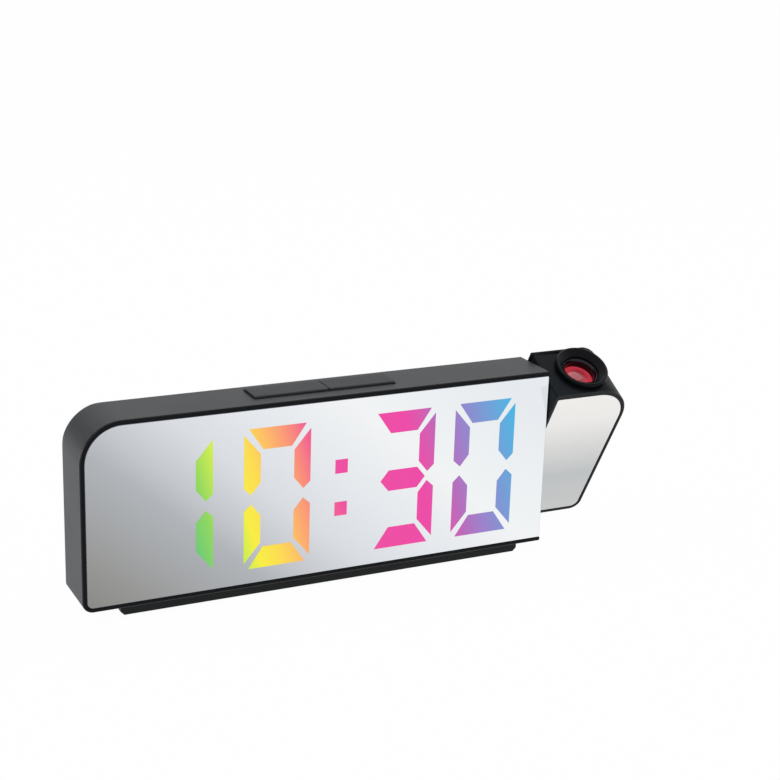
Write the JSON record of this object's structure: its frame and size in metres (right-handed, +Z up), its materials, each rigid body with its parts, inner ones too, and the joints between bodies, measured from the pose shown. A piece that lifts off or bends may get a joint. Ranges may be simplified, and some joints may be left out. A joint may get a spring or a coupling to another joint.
{
  "type": "projection alarm clock",
  "caption": "Long mirror-faced alarm clock on a bar foot, with large lit digits, top snooze keys and a swinging arm at its end that holds a focusing time projector.",
  "frame": {"origin": "middle of the anti-slip strip's underside, below the housing's centre", "axes": "+X along the clock towards the projector arm, +Y to the back, +Z up; the mirror face looks along -Y"},
  "size_m": [0.2183, 0.0558, 0.0783],
  "materials": {
    "housing_black": "satin moulded plastic, fine grain",
    "mirror_face": "half-silvered acrylic",
    "lit_image": "lit rainbow gradient",
    "diffuser_white": "milky film",
    "inner_black": "moulded plastic",
    "board_green": "solder mask",
    "led_cream": "resin",
    "screw_steel": "plated",
    "screw_black": "blackened",
    "chip_black": "epoxy",
    "socket_steel": "drawn",
    "cell_steel": "polished",
    "contact_brass": "plated",
    "door_black": "satin moulded plastic",
    "button_black": "satin moulded plastic",
    "key_grey": "satin moulded plastic",
    "lead_white": "flat cable",
    "foot_black": "satin moulded plastic",
    "strip_rubber": "soft rubber",
    "bush_nylon": "natural nylon",
    "wire_red": "soft insulation",
    "arm_black": "satin moulded plastic",
    "spring_steel": "tempered",
    "lens_clear": "polished",
    "lens_red": "polished",
    "led_red": "resin",
    "slide_glass": "polished",
    "ring_black": "satin moulded plastic",
    "barrel_chrome": "polished"
  },
  "bodies": {
    "base": {"housing_shell": "housing_black", "mirror_panel": "mirror_face", "lit_time": "lit_image", "diffuser_film": "diffuser_white", "segment_reflector": "inner_black", "display_board": "board_green", "display_leds": "led_cream", "display_screws": "screw_steel", "board_header": "chip_black", "main_board": "board_green", "board_chips": "chip_black", "tact_switches": "chip_black", "buzzer": "chip_black", "power_inlet": "socket_steel", "board_screws": "screw_steel", "rear_cover": "housing_black", "cover_screws": "screw_black", "coin_cell": "cell_steel", "cell_contact": "contact_brass", "key_board": "board_green", "key_switches": "chip_black", "key_screws": "screw_steel", "key_lead": "lead_white", "foot_rail": "foot_black", "foot_strip": "strip_rubber", "foot_screws": "screw_steel", "hinge_bush": "bush_nylon", "body_harness": "wire_red"},
    "arm": {"arm_shell": "arm_black", "arm_cover": "arm_black", "arm_mirror": "mirror_face", "arm_screws": "screw_black", "hinge_shaft": "inner_black", "friction_washer": "bush_nylon", "spring_washer": "spring_steel", "retaining_ring": "spring_steel", "arm_harness": "wire_red", "projector_tube": "inner_black", "lamp_housing": "inner_black", "condenser_lens": "lens_clear", "projector_board": "board_green", "projector_led": "led_red", "lamp_screws": "screw_steel", "display_slide": "slide_glass"},
    "focus_ring": {"focus_ring": "ring_black"},
    "lens_barrel": {"lens_barrel": "barrel_chrome", "front_lens": "lens_red", "rear_lens": "lens_clear"},
    "snooze_left": {"snooze_key_left": "key_grey"},
    "snooze_right": {"snooze_key_right": "key_grey"},
    "mode_button": {"button_mode": "button_black"},
    "up_button": {"button_up": "button_black"},
    "down_button": {"button_down": "button_black"},
    "alarm_button": {"button_alarm": "button_black"},
    "projector_button": {"button_projector": "button_black"},
    "battery_door": {"battery_door": "door_black"}
  },
  "joints": [
    {"name": "arm_swing", "type": "hinge", "parent": "base", "child": "arm", "pos_m": [0.1, 0.0022, 0.0573], "axis": [1, 0, 0], "range_deg": [-119, 61]},
    {"name": "focus_turn", "type": "hinge", "parent": "arm", "child": "focus_ring", "pos_m": [0.1083, -0.00646, 0.07148], "axis": [0, -0.4848, 0.8746], "range_deg": [-90, 90]},
    {"name": "focus_travel", "type": "slide", "parent": "arm", "child": "lens_barrel", "axis": [0, -0.4848, 0.8746], "range_m": [-0.0008, 0.0008]},
    {"name": "snooze_press_left", "type": "slide", "parent": "base", "child": "snooze_left", "axis": [0, 0, -1], "range_m": [0, 0.001], "stiffness_N_per_m": 400, "springref_m": -0.0006},
    {"name": "snooze_press_right", "type": "slide", "parent": "base", "child": "snooze_right", "axis": [0, 0, -1], "range_m": [0, 0.001], "stiffness_N_per_m": 400, "springref_m": -0.0006},
    {"name": "mode_press", "type": "slide", "parent": "base", "child": "mode_button", "axis": [0, -1, 0], "range_m": [0, 0.0006], "stiffness_N_per_m": 500, "springref_m": -0.0004},
    {"name": "up_press", "type": "slide", "parent": "base", "child": "up_button", "axis": [0, -1, 0], "range_m": [0, 0.0006], "stiffness_N_per_m": 500, "springref_m": -0.0004},
    {"name": "down_press", "type": "slide", "parent": "base", "child": "down_button", "axis": [0, -1, 0], "range_m": [0, 0.0006], "stiffness_N_per_m": 500, "springref_m": -0.0004},
    {"name": "alarm_press", "type": "slide", "parent": "base", "child": "alarm_button", "axis": [0, -1, 0], "range_m": [0, 0.0006], "stiffness_N_per_m": 500, "springref_m": -0.0004},
    {"name": "projector_press", "type": "slide", "parent": "base", "child": "projector_button", "axis": [0, -1, 0], "range_m": [0, 0.0006], "stiffness_N_per_m": 500, "springref_m": -0.0004},
    {"name": "door_twist", "type": "hinge", "parent": "base", "child": "battery_door", "pos_m": [0.048, 0.01, 0.032], "axis": [0, 1, 0], "range_deg": [0, 40]}
  ],
  "couplings": [
    {"joint": "focus_turn", "follows": "focus_travel", "rad_per_m": 1963.5}
  ]
}
